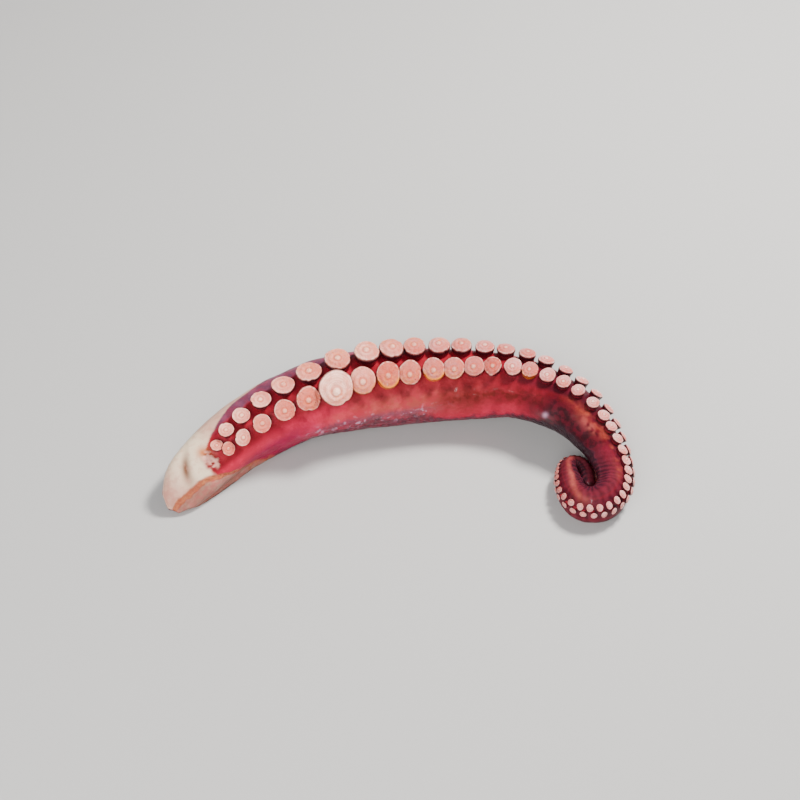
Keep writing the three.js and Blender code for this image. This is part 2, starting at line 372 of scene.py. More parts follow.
NEAR_PLACES = sucker_places(FIRST_NEAR_SUCKER, NEAR_ROW)
FAR_PLACES = sucker_places(FIRST_FAR_SUCKER, FAR_ROW)


def sucker_frame(s, row, scale):
    """Foot, axes and sizes of one sucker of a row."""
    middle, forwards, suckerwards, across = axes_at(s)
    width = float(read(SUCKER_WIDTH, s))
    longest_share = float(read(LONGEST_SHARE_OF_PITCH, s))
    splay = math.radians(float(read(row["splay"], s)))
    outwards = across * row["side"]
    up = suckerwards * math.cos(splay) + outwards * math.sin(splay)
    sideways = (float(read(row["offset"], s)) - STAND_HEIGHT * math.sin(splay)) * width
    level = (1 - (sideways / float(read(HALF_WIDTH, s))) ** SQUARENESS) ** (1 / SQUARENESS)
    foot = middle + outwards * sideways + suckerwards * float(read(SUCKER_SIDE_DEPTH, s)) * level
    return {
        "s": s,
        "row": row["side"],
        "foot": foot,
        "up": up,
        "along": forwards,
        "over": np.cross(up, forwards),
        "width": scale * width,
        "length": scale * min(width, longest_share * float(read(SUCKER_PITCH, s))),
        "height": STAND_HEIGHT * width * scale,
    }


def all_sucker_frames():
    """Frames of the near row's suckers and of the far row's."""
    near = [
        sucker_frame(s, NEAR_ROW, GIANT_SCALE if i == GIANT_SUCKER else 1)
        for i, s in enumerate(NEAR_PLACES)
    ]
    return near, [sucker_frame(s, FAR_ROW, 1) for s in FAR_PLACES]


# ---- Body ----
def rounded(value):
    """Sine or cosine of a turn, bent to the fullness of the cross-section."""
    return np.sign(value) * np.abs(value) ** (2 / SQUARENESS)


def plain_skin(s, turn):
    """Points of the skin before its relief. The turn is 0 in the middle of the sucker side."""
    middle, _, suckerwards, across = (a[:, None, :] for a in axes_at(s))
    cosine = np.cos(np.radians(turn))[None, :]
    sine = np.sin(np.radians(turn))[None, :]
    sucker_depth = read(SUCKER_SIDE_DEPTH, s)[:, None]
    back_depth = read(BACK_DEPTH, s)[:, None]
    depth = np.where(cosine > 0, sucker_depth, back_depth) * rounded(cosine)
    width = read(HALF_WIDTH, s)[:, None] * rounded(sine)
    out = across * width[..., None] + suckerwards * depth[..., None]
    edge = read(WEB_EDGE_OUT, s)[:, None] * hump(turn, WEB_EDGE_AT, WEB_EDGE_SPREAD)[None, :]
    length = np.linalg.norm(out, axis=-1)
    out = out * ((length + edge) / length)[..., None]
    return middle + out


def normals_of(points):
    """Outward direction at each point of rings of points that close round the arm."""
    around = np.roll(points, -1, axis=1) - np.roll(points, 1, axis=1)
    forwards = np.gradient(points, axis=0)
    return unit(np.cross(around, forwards))


def noise_field(points, size, seed, octaves=2):
    """Soft random relief from about -1 to 1 at each point, its lumps about size across."""
    shift = Vector((seed * 17.3, seed * 5.7, -seed * 9.1))
    flat = points.reshape(-1, 3) / size
    values = [noise.fractal(Vector(p) + shift, 1.0, 2.0, octaves) for p in flat]
    return np.array(values).reshape(points.shape[:-1])


def build_mesh(name, points, faces, attributes, parent_body="root"):
    """A smooth piece of the arm, with a value at each of its points for each attribute."""
    mesh = bpy.data.meshes.new(name)
    mesh.from_pydata((points * METRES).tolist(), [], faces)
    mesh.polygons.foreach_set("use_smooth", [True] * len(mesh.polygons))
    for attribute_name, values in attributes.items():
        attribute = mesh.attributes.new(attribute_name, "FLOAT", "POINT")
        attribute.data.foreach_set("value", np.asarray(values, np.float32).ravel())
    mesh.update()
    piece = bpy.data.objects.new(name, mesh)
    bpy.context.collection.objects.link(piece)
    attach(piece, parent_body)
    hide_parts("octopus_arm")
    return piece


def wall_faces(start, rings, sides):
    """Faces between rings of points, the first of which starts at a point's number."""
    faces = []
    for ring in range(rings - 1):
        low = start + ring * sides
        for side in range(sides):
            after = (side + 1) % sides
            faces.append((low + side, low + after, low + sides + after, low + sides + side))
    return faces


def ring_faces(rings, sides):
    """Faces of a closed skin: a point, rings of points, and a point."""
    faces = []
    last = 1 + rings * sides
    for side in range(sides):
        after = (side + 1) % sides
        faces.append((0, 1 + after, 1 + side))
        faces.append((last, last - sides + side, last - sides + after))
    return faces + wall_faces(1, rings, sides)


def ring_places():
    """Places of the body's rings, closer together in the curl."""
    thick = np.arange(0, CURL_FROM, RING_STEP_THICK)
    return np.concatenate([thick, np.arange(CURL_FROM, ARM_LENGTH, RING_STEP_CURL), [ARM_LENGTH]])


# Flesh drawn up round the foot of a stalk, in disc widths: its height, its spread, how far along
# the arm it is worked out, and the depths below the foot between which it sets in.
SWELL_HEIGHT = 0.13
SWELL_SPREAD = 0.5
SWELL_REACH = 1.3
SWELL_SETS_IN = (-1.0, -0.2)


def sucker_swellings(s, points, suckers):
    """Flesh drawn up round the foot of each sucker's stalk, as moves of the skin's points."""
    moves = np.zeros_like(points)
    for sucker in suckers:
        width = sucker["width"]
        rows = np.abs(s - sucker["s"]) < SWELL_REACH * width + 1
        away = points[rows] - sucker["foot"]
        height = away @ sucker["up"]
        off_axis = np.linalg.norm(away - height[..., None] * sucker["up"], axis=-1)
        swell = SWELL_HEIGHT * width * np.exp(-((off_axis / (SWELL_SPREAD * width)) ** 2))
        swell *= smooth(SWELL_SETS_IN[0] * width, SWELL_SETS_IN[1] * width, height)
        moves[rows] += swell[..., None] * sucker["up"]
    return moves


def lump_distance(s, turn, length=LUMP_LENGTH, turn_spread=LUMP_TURN_SPREAD):
    """Distance from the middle of the lump, as a share of a length and a spread of turn."""
    return np.hypot((s - LUMP_PLACE) / length, (turn - LUMP_TURN) / turn_spread)


def root_zones(s, turn, points, wobble, drift):
    """The white flesh of the cut root, the cut edge of the web, and the marks on them."""
    degrees_per_mm = 1 / (0.0185 * read(HALF_WIDTH, s))
    cut_top = read(CUT_EDGE_TOP, s) + 3 * wobble
    cut_width = read(CUT_EDGE_WIDTH, s) * (1 + 0.35 * drift + 0.25 * wobble)
    cut_bottom = cut_top + cut_width * degrees_per_mm
    cut = smooth(-2.5, 2.5, turn - cut_top) * smooth(-3, 3, cut_bottom - turn) * smooth(66, 50, s)
    white = smooth(-0.8, 1.2, read(WHITE_FLESH_END, turn) - s + 1.1 * wobble + 1.4 * drift)
    white *= smooth(-4, 3, cut_top - turn)
    white *= smooth(0, 8, turn - WHITE_FLESH_FAR_EDGE + 5 * wobble)
    under_cut = smooth(-3, 3, turn - cut_bottom) * smooth(70, 46, s) * smooth(132, 118, turn)
    crumbs = smooth(-0.4, 0.2, noise_field(points, size=1.4, seed=8, octaves=1))
    curds = patch("curds", s, turn) * crumbs
    slanted = s + DENT_SLANT * (turn - DENT_TURN)
    blush_at_end = 0.8 * smooth(26, 36, s)
    blush_at_cut = hump(s, 4, 8) * smooth(-120, -60, turn)
    return {
        "white_flesh": white,
        "cut_edge": cut,
        "under_cut": under_cut * (1 - white),
        "reddening": white * np.maximum(blush_at_end, blush_at_cut),
        "tan_rim": patch("tan_rim", s, turn),
        "curds": smooth(0.2, 0.55, curds),
        "dent": hump(slanted, DENT_PLACE, DENT_LENGTH) * hump(turn, DENT_TURN, DENT_TURN_SPREAD),
        "back_skin": (1 - white) * (1 - cut) * (1 - 0.85 * under_cut),
    }


def back_share(s, turn, wobble, drift):
    """Share of the dark skin that covers the back."""
    edge = sum((step * smooth(start, end, s) for start, end, step in BACK_EDGE_STEPS), BACK_EDGE)
    return np.maximum(
        smooth(-7, 7, turn - edge + 7 * wobble + 7 * drift),
        smooth(-7, 7, -turn - FAR_BACK_EDGE + 6 * wobble + 9 * drift),
    )


def skin_zones(s, turn, points):
    """Share of each kind of skin at every point, from 0 to 1, and the patterns in it."""
    wobble = noise_field(points, size=3.2, seed=1)
    drift = noise_field(points, size=11, seed=2)
    s, turn = np.broadcast_arrays(s[:, None], turn[None, :])
    zones = root_zones(s, turn, points, wobble, drift)
    zones["back_skin"] *= back_share(s, turn, wobble, drift)

    stalk_side = smooth(*reversed(STALK_SIDE), np.abs(turn) + 3 * drift)
    zones["between_suckers"] = stalk_side * (1 - zones["white_flesh"])
    # Painted shade deepens the gaps between the stalks from the bend to the tip.
    zones["shaded_gaps"] = stalk_side * smooth(150, 200, s + 8 * drift)
    for kind in ("purple_rim", "far_strip"):
        zones[kind] = strip(kind, s, turn, wobble)
    for kind in ("magenta", "salmon", "brown_red", "shaded_bend"):
        zones[kind] = strip(kind, s, turn, drift)

    # A shallow fold beside each near sucker, with the sucker's painted shade in it, fainter towards
    # the root.
    near_index = np.interp(s, NEAR_PLACES, np.arange(len(NEAR_PLACES)))
    beat = np.cos(2 * math.pi * (near_index + FOLD_PHASE + 0.2 * drift))
    fold = 0.7 + 0.3 * beat - 0.4 * smooth(110, 80, s)
    zones["sucker_shade"] = fold * strip("sucker_shade", s, turn, wobble)

    # The painted light of the lit patch is broken up by noise.
    blotchy = smooth(-0.2, 0.5, drift + wobble + 0.5)
    zones["lit_patch"] = patch("lit_patch", s, turn) * blotchy
    # Painted amber glow of light through the flesh, in patches.
    zones["painted_glow"] = strip("painted_glow", s, turn) * smooth(-0.7, 0.3, wobble + drift)

    # The curl: its dark flanks, the crease inside it darkened with painted shade, the crest paler
    # with painted light, and the rays across it.
    flank_turn = smooth(18, 42, np.abs(turn) + 4 * drift)
    zones["curl_flank"] = flank_turn * smooth(224, 240, s + 4 * drift)
    crease_turn = turn + 30 * smooth(272, 262, s) - 30
    zones["shaded_valley"] = smooth(62, 84, crease_turn) * smooth(228, 246, s)
    lit_crest = hump(turn, read(LIT_CREST_TURN, s), LIT_CREST_SPREAD)
    zones["lit_crest"] = lit_crest * smooth(261, 267, s) * smooth(300, 290, s)
    ray_phase = s / RAY_PITCH + 0.8 * drift + 0.3 * wobble
    zones["rays"] = 0.5 + 0.5 * np.cos(2 * math.pi * ray_phase)

    # A painted highlight on top of the lump, and the wet glossy coat of the rim and of the lump.
    zones["painted_gleam"] = hump(lump_distance(s, turn, PAINTED_GLEAM_LENGTH, PAINTED_GLEAM_TURN_SPREAD), 0, 1)
    shiny_lump = hump(lump_distance(s, turn), 0, 1.1)
    zones["glossy"] = np.maximum(strip("glossy_rim", s, turn), shiny_lump)
    return {name: np.clip(zone, 0, 1) for name, zone in zones.items()}


def skin_relief(s, turn, points, zones):
    """Height of the relief over the plain skin, in millimetres."""
    s, turn = np.broadcast_arrays(s[:, None], turn[None, :])
    half_width = read(HALF_WIDTH, s)
    swaying = noise_field(points, size=16, seed=4, octaves=1)
    swaying *= SWAY_SHARE_OF_WIDTH * half_width
    lumpy = LUMPINESS * smooth(0, 6, half_width) * noise_field(points, size=5, seed=5)
    lumpy *= 1 - 0.7 * zones["white_flesh"]
    pits = np.abs(noise_field(points, size=2.1, seed=6))
    rough_back = BACK_PIT_DEPTH * zones["back_skin"] * (0.35 - pits)
    rough_rim = RIM_PIT_DEPTH * strip("rough_rim", s, turn) * (0.3 - pits)
    tears = CUT_TEAR_DEPTH * noise_field(points, size=1.3, seed=7)
    torn_cut = zones["cut_edge"] * (tears - CUT_SUNK_BY)
    folds = -FOLD_DEPTH * zones["sucker_shade"]
    inside_curl = smooth(224, 244, s) * hump(turn, 58, 34) * smooth(0.5, 4, half_width)
    rays = RAY_HEIGHT * inside_curl * (zones["rays"] - 0.5)
    dent = -DENT_DEPTH * zones["dent"]
    lump = LUMP_HEIGHT * hump(lump_distance(s, turn), 0, 1)
    crumbs = CRUMB_HEIGHT * zones["curds"]
    soft_forms = swaying + lumpy + folds + dent + lump
    return soft_forms + rough_back + rough_rim + torn_cut + rays + crumbs


def build_skin(suckers):
    """The body of the arm, with its relief and its kinds of skin."""
    s = ring_places()
    turn = np.arange(SKIN_SIDES) * 360 / SKIN_SIDES - 180
    points = plain_skin(s, turn)
    zones = skin_zones(s, turn, points)
    relief = skin_relief(s, turn, points, zones)
    swellings = sucker_swellings(s, points, suckers)
    points = points + normals_of(points) * relief[..., None] + swellings
    points[..., 2] = np.maximum(0, points[..., 2])
    ends = point_on_route(0), point_on_route(ARM_LENGTH)
    corners = np.concatenate([[ends[0]], points.reshape(-1, 3), [ends[1]]])
    zones["along"] = np.broadcast_to(s[:, None], points.shape[:2])
    attributes = {
        name: np.concatenate([[zone[0, 0]], zone.ravel(), [zone[-1, 0]]])
        for name, zone in zones.items()
    }
    return build_mesh("arm_body", corners, ring_faces(len(s), SKIN_SIDES), attributes)


# ---- Suckers ----
# Profile of a sucker from its buried foot to the middle of its face, as radius in disc widths
# and height in stand heights. A barrel-shaped sucker has a wider and lower stalk.
STALK_PROFILE = [
    (0.32, -0.70), (0.31, -0.30), (0.31, 0.00), (0.325, 0.20), (0.36, 0.38), (0.41, 0.53),
    (0.455, 0.66), (0.487, 0.77), (0.50, 0.855), (0.499, 0.92), (0.485, 0.975),
]
BARREL_DROPS = [0, 0, 0, 0, 0.03, 0.06, 0.1, 0.12, 0.11, 0.09, 0.06]
BARREL_WIDENING = 0.7
BARREL_FROM = (50, 115)
FACE_PROFILE = [
    (0.465, 0.998), (0.445, 0.995), (0.42, 0.975), (0.39, 0.958), (0.355, 0.955), (0.32, 0.965),
    (0.29, 0.97), (0.262, 0.957), (0.235, 0.937), (0.205, 0.915), (0.175, 0.895),
    (0.145, 0.88), (0.122, 0.89), (0.102, 0.92), (0.08, 0.95), (0.05, 0.972), (0.022, 0.98),
]
FACE_RADIUS = 0.47
TIP_HEIGHT = 0.982
# Edge of a disc: how far its outline wanders from an ellipse, in waves that go round it so many
# times and have such a share of the wander.
OUTLINE_WANDER = 0.035
OUTLINE_WAVES = ((2, 1.0), (3, 0.8), (5, 0.4), (8, 0.25))
# Nicks in the edge: how many a sucker has, at most two, and their depth and spread.
NICKS_PER_SUCKER = 0.8
NICK_DEPTH = (0.04, 0.11)
NICK_SPREAD = 0.16
# The sucker whose edge is drawn out to a point, by its place in the near row.
POINTED_SUCKER = 12
POINT_TURN = 1.5 * math.pi
POINT_LENGTH = 0.2
POINT_SPREAD = 0.4
# Suckers whose clear side has a painted amber glow of light let through, by their place in the near
# row.
GLOWING_SUCKERS = {6: 0.4, 7: 1.0, 9: 1.0, 10: 0.3, 14: 0.35}
# The enlarged sucker is the only one wider than this, and has the palest disc.
PALEST_WIDTH = 14
# Turn of a disc's redder side, its painted shaded side, and how far it varies.
SHADED_SIDE_TURN = -0.6
SHADED_SIDE_SPREAD = 0.8
# Height of the fine ripples on a disc, in stand heights.
RIPPLE_HEIGHT = 0.012
# Ranges of the dome of a face in stand heights, of the lean of a sucker, and of the place of its
# middle in disc widths. A barrel-shaped one is domed by so much more.
DOME = (0.03, 0.12)
BARREL_DOME = 0.24
LEAN_ALONG = (-0.05, 0.05)
LEAN_OVER = (-0.07, 0.07)
MIDDLE_ALONG = (-0.05, 0.05)
MIDDLE_OVER = (-0.04, 0.04)
# Range from which any turn of a full circle is drawn.
ANY_TURN = (0, 6.3)


def turn_between(turn, at):
    """Turn from one place on a circle to another, the shorter way round."""
    return np.abs((turn - at + math.pi) % (2 * math.pi) - math.pi)


def disc_outline(turn, draw, pointed):
    """Radius of a disc's edge at each turn, as a share of the plain ellipse."""
    outline = np.ones(len(turn))
    for waves, share in OUTLINE_WAVES:
        swing = OUTLINE_WANDER * share * draw.uniform(0.2, 1)
        outline += swing * np.sin(waves * turn + draw.uniform(*ANY_TURN))
    for _ in range(2):
        depth = draw.uniform(*NICK_DEPTH) if draw.random() < NICKS_PER_SUCKER / 2 else 0
        away = turn_between(turn, draw.uniform(*ANY_TURN))
        outline -= depth * np.exp(-((away / NICK_SPREAD) ** 2))
    if pointed:
        away = turn_between(turn, POINT_TURN)
        outline += POINT_LENGTH * np.exp(-((away / POINT_SPREAD) ** 2)) - 0.06
    return outline


def sucker_profile(dome, barrel):
    """Profile of one sucker, with its face raised to a dome and its stalk made barrel-shaped."""
    stalk = [
        (r + barrel * BARREL_WIDENING * (0.49 - min(r, 0.49)), h - barrel * drop)
        for (r, h), drop in zip(STALK_PROFILE, BARREL_DROPS)
    ]
    face = [
        (r, h + dome * (1 - (r / FACE_RADIUS) ** 2) - 0.03 * barrel)
        for r, h in FACE_PROFILE
    ]
    return stalk + face


def sucker_traits(index, sucker):
    """What sets one sucker apart from the next. The draws keep this order."""
    near = sucker["row"] > 0
    draw = random.Random(1000 * sucker["row"] + index)
    sides = next(sides for width, sides in SUCKER_SIDES if sucker["width"] > width)
    turn = np.arange(sides) * 2 * math.pi / sides
    outline = disc_outline(turn, draw, near and index == POINTED_SUCKER)
    if sucker["width"] > PALEST_WIDTH:
        tint = 0
    else:
        tint = min(1, 0.2 + draw.uniform(0, 0.6) + 0.25 * near)
    # One side of each disc is reddened as its painted shaded side.
    reddening = 0.5 + 0.5 * np.cos(turn - draw.gauss(SHADED_SIDE_TURN, SHADED_SIDE_SPREAD))
    barrel = float(smooth(*BARREL_FROM, sucker["s"]))
    dome = draw.uniform(*DOME) + BARREL_DOME * barrel
    tilt_along, tilt_over = draw.uniform(*LEAN_ALONG), draw.uniform(*LEAN_OVER)
    middle_x, middle_y = draw.uniform(*MIDDLE_ALONG), draw.uniform(*MIDDLE_OVER)
    middle_y -= float(smooth(50, 90, sucker["s"])) * (0.12 if near else 0.05)
    around = np.stack([np.cos(turn), np.sin(turn)], axis=-1) * 4.5
    sway = [noise.noise(Vector((x, y, 7.3 * index + sucker["row"]))) for x, y in around]
    return {
        "turn": turn,
        "outline": outline,
        "tint": tint,
        "reddening": reddening,
        "barrel": barrel,
        "dome": dome,
        "up": unit(sucker["up"] + tilt_along * sucker["along"] + tilt_over * sucker["over"]),
        "middle": (middle_x, middle_y),
        "streak": np.clip(0.5 + 1.1 * np.array(sway), 0, 1),
        "painted_glow": GLOWING_SUCKERS.get(index, 0) if near else 0,
        "facing": 0.5 - 0.5 * np.sin(turn) * sucker["row"],
    }


def sucker_ring(sucker, traits, radius, rise):
    """Points of one ring of a sucker, at a radius and a height of its profile."""
    turn = traits["turn"]
    flare = smooth(0.3, 0.8, rise) if radius > 0.3 else smooth(0.1, 0.42, radius)
    reach = radius * (1 + (traits["outline"] - 1) * flare)
    inwards = 1 - radius / 0.5
    x = (reach * np.cos(turn) + traits["middle"][0] * inwards) * sucker["length"]
    y = (reach * np.sin(turn) + traits["middle"][1] * inwards) * sucker["width"]
    rippled = smooth(0.2, 0.36, radius) * (rise > 0.7)
    ripple = RIPPLE_HEIGHT * (traits["streak"] - 0.5) * rippled
    ring = sucker["foot"] + x[:, None] * sucker["along"] + y[:, None] * sucker["over"]
    return ring + ((rise + ripple) * sucker["height"])[:, None] * traits["up"]


def sucker_tip(sucker, traits):
    """Point in the middle of a sucker's face."""
    height = sucker["height"] * (TIP_HEIGHT + traits["dome"])
    along = traits["middle"][0] * sucker["length"]
    over = traits["middle"][1] * sucker["width"]
    return sucker["foot"] + traits["up"] * height + along * sucker["along"] + over * sucker["over"]


def sucker_faces(base, rings, sides):
    """Faces of one sucker whose points start at base: its rings, its tip and its foot."""
    faces = wall_faces(base, rings, sides)
    last = base + (rings - 1) * sides
    for side in range(sides):
        faces.append((last + side, last + (side + 1) % sides, last + sides))
    faces.append(tuple(base + side for side in reversed(range(sides))))
    return faces


def build_suckers(name, suckers):
    """One row of suckers, with the facts that their colours follow at every point."""
    corners, faces = [], []
    facts = defaultdict(list)
    for index, sucker in enumerate(suckers):
        traits = sucker_traits(index, sucker)
        sides = len(traits["turn"])
        profile = sucker_profile(traits["dome"], traits["barrel"])
        base = len(corners)
        for ring, (radius, rise) in enumerate(profile):
            corners.extend(sucker_ring(sucker, traits, radius, rise))
            on_face = ring >= len(STALK_PROFILE)
            height = 1.0 if on_face else rise + 0.1 * traits["barrel"] * (rise > 0.6)
            facts["height"].extend([height] * sides)
            facts["radius"].extend([radius * 2] * sides)
            for fact in ("facing", "streak", "reddening"):
                facts[fact].extend(traits[fact])
        corners.append(sucker_tip(sucker, traits))
        facts["height"].append(1)
        facts["radius"].append(0)
        for fact in ("facing", "streak", "reddening"):
            facts[fact].append(0.5)
        points = len(corners) - base
        facts["along"].extend([sucker["s"]] * points)
        facts["tint"].extend([traits["tint"]] * points)
        facts["painted_glow"].extend([traits["painted_glow"]] * points)
        faces.extend(sucker_faces(base, len(profile), sides))
    return build_mesh(name, np.array(corners), faces, facts)


# ---- Materials ----
def tone(code):
    """Scene colour from a six-digit screen colour."""
    parts = [int(code[i:i + 2], 16) / 255 for i in (0, 2, 4)]
    linear = [v / 12.92 if v <= 0.04045 else ((v + 0.055) / 1.055) ** 2.4 for v in parts]
    return (*linear, 1)


class Nodes:
    """Short ways to add and join the nodes of a tree."""

    def __init__(self, tree):
        self.tree = tree

    def node(self, kind, **settings):
        made = self.tree.nodes.new(kind)
        for key, value in settings.items():
            setattr(made, key, value)
        return made

    def put(self, socket, value):
        if isinstance(value, bpy.types.NodeSocket):
            self.tree.links.new(value, socket)
        else:
            socket.default_value = value

    def zone(self, name):
        """Value that the mesh holds under a name."""
        return self.node("ShaderNodeAttribute", attribute_name=name).outputs["Fac"]

    def maths(self, operation, a, b=0.0, clamp=False):
        made = self.node("ShaderNodeMath", operation=operation, use_clamp=clamp)
        self.put(made.inputs[0], a)
        self.put(made.inputs[1], b)
        return made.outputs[0]

    def times(self, first, *others):
        """Product of two or more values."""
        for other in others:
            first = self.maths("MULTIPLY", first, other)
        return first

    def plus(self, a, b):
        """Sum of two values, held between 0 and 1."""
        return self.maths("ADD", a, b, clamp=True)

    def spread(self, value, low, high, to_low=0.0, to_high=1.0):
        """Even change from to_low to to_high while the value goes from low to high."""
        made = self.node("ShaderNodeMapRange", interpolation_type="SMOOTHSTEP")
        for socket, given in zip(made.inputs, (value, low, high, to_low, to_high)):
            self.put(socket, given)
        return made.outputs[0]

    def band(self, value, begins, ends):
        """1 where the value is between its two edges, each a pair from outside to inside."""
        return self.times(self.spread(value, *begins), self.spread(value, *ends))

    def mix(self, share, a, b, blend="MIX"):
        made = self.node("ShaderNodeMix", data_type="RGBA", blend_type=blend, clamp_factor=True)
        self.put(made.inputs["Factor"], share)
        self.put(made.inputs[6], a)
        self.put(made.inputs[7], b)
        return made.outputs[2]

    def mark(self, colour, marks, name, share):
        """A colour with a mark from a table laid over a share of the surface."""
        code, strength = marks[name]
        return self.mix(self.times(share, strength), colour, tone(code))

    def texture(self, kind, scale, **settings):
        """A texture that is fixed to the piece, with lumps at so many to a metre."""
        made = self.node(kind, **settings)
        self.put(made.inputs["Vector"], self.node("ShaderNodeTexCoord").outputs["Object"])
        self.put(made.inputs["Scale"], scale)
        return made

    def noise(self, size, detail=2.0, roughness=0.5):
        """Noise of lumps about size millimetres across, from 0 to 1."""
        made = self.texture("ShaderNodeTexNoise", 1 / (size * METRES))
        self.put(made.inputs["Detail"], detail)
        self.put(made.inputs["Roughness"], roughness)
        return made.outputs["Fac"]

    def group(self, tree, **values):
        """A node group placed with its own values, named as its inputs are."""
        made = self.node("ShaderNodeGroup", node_tree=tree)
        for key, value in values.items():
            self.put(made.inputs[key.replace("_", " ")], value)
        return made


class Shading(Nodes):
    """The nodes of a new material."""

    def __init__(self, name):
        self.material = bpy.data.materials.new(name)
        self.material.use_nodes = True
        super().__init__(self.material.node_tree)

    def finish(self, values):
        """Joins or sets the inputs of the material's shader."""
        for name, value in values.items():
            self.put(self.tree.nodes["Principled BSDF"].inputs[name], value)


# Wet skin: wrinkles to a pore, wet patches to a metre, and the noise where wet turns to dry.
WRINKLES_TO_A_PORE = 0.45
PORE_DETAIL = 3
WET_PATCHES_PER_METRE = 160
WET_TO_DRY = (0.35, 0.65)
WET_SKIN_INPUTS = (("Size", 900.0), ("Dry Roughness", 0.4), ("Wet Roughness", 0.2))


def wet_skin_group():
    """Fine wrinkles and pores of a chosen size, with wet patches between them."""
    tree = bpy.data.node_groups.new("wet_skin", "ShaderNodeTree")
    for name, value in WET_SKIN_INPUTS:
        socket = tree.interface.new_socket(name, in_out="INPUT", socket_type="NodeSocketFloat")
        socket.default_value = value
    for name in ("Height", "Roughness"):
        tree.interface.new_socket(name, in_out="OUTPUT", socket_type="NodeSocketFloat")
    nodes = Nodes(tree)
    given = nodes.node("NodeGroupInput").outputs
    result = nodes.node("NodeGroupOutput").inputs
    pores = nodes.texture("ShaderNodeTexNoise", given["Size"])
    nodes.put(pores.inputs["Detail"], PORE_DETAIL)
    wrinkle_scale = nodes.times(given["Size"], WRINKLES_TO_A_PORE)
    wrinkles = nodes.texture("ShaderNodeTexVoronoi", wrinkle_scale, feature="SMOOTH_F1")
    patches = nodes.texture("ShaderNodeTexNoise", WET_PATCHES_PER_METRE)
    height = nodes.maths("ADD", pores.outputs["Fac"], wrinkles.outputs["Distance"])
    nodes.put(result["Height"], height)
    wetness = nodes.node("ShaderNodeMapRange")
    low, high = given["Wet Roughness"], given["Dry Roughness"]
    for socket, value in zip(wetness.inputs, (patches.outputs["Fac"], *WET_TO_DRY, low, high)):
        nodes.put(socket, value)
    nodes.put(result["Roughness"], wetness.outputs[0])
    return tree


# Cooked flesh: how much it mirrors, how smooth its wet coat is, and how deep light goes into it,
# in millimetres, for red, green and blue.
FLESH_SPECULAR = 0.16
COAT_ROUGHNESS = 0.1
LIGHT_DEPTH = 2.2
LIGHT_DEPTH_SHARES = (1.0, 0.35, 0.25)


def finish_flesh(shading, colour, height, bump_height, roughness, coat, subsurface):
    """Colour, relief, roughness and the clear wet coat of cooked flesh."""
    bump = shading.node("ShaderNodeBump")
    bump.inputs["Distance"].default_value = bump_height * METRES
    shading.put(bump.inputs["Height"], height)
    shading.finish({
        "Base Color": colour,
        "Roughness": roughness,
        "Normal": bump.outputs[0],
        "Specular IOR Level": FLESH_SPECULAR,
        "Coat Weight": coat,
        "Coat Roughness": COAT_ROUGHNESS,
        "Subsurface Weight": subsurface,
        "Subsurface Radius": LIGHT_DEPTH_SHARES,
        "Subsurface Scale": LIGHT_DEPTH * METRES,
    })


# Each layer of the skin: its zone, its colour, its strength, and how far noise breaks it up.
SKIN_BASE = "b41a3c"
SKIN_LAYERS = [
    ("salmon", "a64640", 0.95, 0.4),
    ("brown_red", "5c1614", 1.0, 0.2),
    ("magenta", "8c0c40", 0.85, 0.3),
    ("shaded_bend", "2a0a12", 1.0, 0.1),
    ("curl_flank", "46161f", 1.0, 0.05),
    ("lit_patch", "94443e", 0.95, 0.3),
    ("sucker_shade", "540e14", 0.9, 0.25),
    ("between_suckers", "7c1820", 0.9, 0.15),
    ("shaded_gaps", "340c18", 0.95, 0.1),
    ("shaded_valley", "200a16", 0.9, 0.1),
    ("painted_glow", "8c3a2c", 0.85, 0.4),
    ("lit_crest", "90443a", 0.85, 0.3),
    ("far_strip", "54384c", 0.9, 0.2),
    ("purple_rim", "6c2c46", 0.85, 0.3),
    ("back_skin", "3c1e2c", 0.92, 0.3),
    ("under_cut", "947060", 0.95, 0.25),
    ("cut_edge", "a86844", 0.95, 0.3),
    ("white_flesh", "cbb69c", 1.0, 0.0),
    ("reddening", "9c5850", 0.8, 0.2),
    ("tan_rim", "a85c30", 1.0, 0.0),
    ("curds", "dca494", 0.85, 0.0),
    ("dent", "5c3624", 1.0, 0.0),
]
# Marks over the layers of the skin: the colour and strength of each.
SKIN_SPOTS = "b48a8c"
SKIN_SPOTS_STRENGTH = 0.4
SKIN_MARKS = {
    "speckles": ("64444e", 1.0),
    "shaded_end": ("160a10", 0.75),
    # Painted glints: pale flecks on the purple rim, and the painted highlight on the lump.
    "painted_glints": ("b48ca4", 0.65),
    "warm_mottling": ("a87c6c", 0.35),
    "rays": ("6c2230", 0.35),
}
# Marks on a sucker's disc: the colour and strength of each.
DISC_MARKS = {
    "shaded_side": ("b03c30", 0.6),
    "streaks": ("f6d2c4", 0.08),
    "ring": ("b85a4a", 0.25),
    "hollow_tint_and_shade": ("b44a34", 0.6),
    "button": ("fcdcbc", 0.3),
    "lines": ("b8604e", 0.28),
    "rim": ("fae0d2", 0.4),
    "blotches": ("c4543c", 0.4),
    "golden": ("d07c40", 0.45),
    "painted_glow": ("d87a1c", 1.0),
    "dark_edge": ("4c0c18", 0.85),
}
# Fine lines round a disc: their frequency over the radius.
DISC_LINES = 62.0


